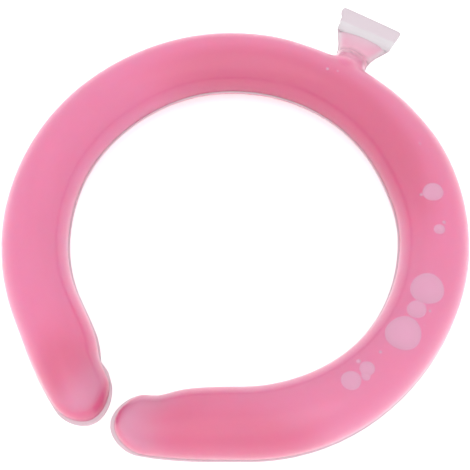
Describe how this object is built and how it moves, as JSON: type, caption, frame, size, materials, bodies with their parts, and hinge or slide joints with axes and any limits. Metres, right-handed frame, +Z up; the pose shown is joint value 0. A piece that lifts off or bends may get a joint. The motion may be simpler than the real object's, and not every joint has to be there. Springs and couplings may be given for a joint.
{
  "type": "cooling neck ring",
  "caption": "C-shaped hollow tube of clear soft plastic filled with pink cooling gel, worn round the neck, with a welded filler neck at the back.",
  "frame": {"origin": "middle of the bounding box's underside, where the ring lies on a surface", "axes": "+Z up, across the ring's plane; +Y towards the back of the neck, where the filler neck stands; the two ends meet towards -Y"},
  "size_m": [0.1728, 0.2048, 0.0254],
  "materials": {
    "clear_plastic": "clear, slightly milky soft plastic with a satin surface",
    "pink_gel": "pink wax-like cooling gel, seen through the clear wall",
    "fused_plastic": "two layers of the clear plastic melted into one, cloudy"
  },
  "bodies": {
    "root": {"shell": "clear_plastic", "gel_core": "pink_gel", "neck_seal": "fused_plastic"}
  },
  "joints": []
}
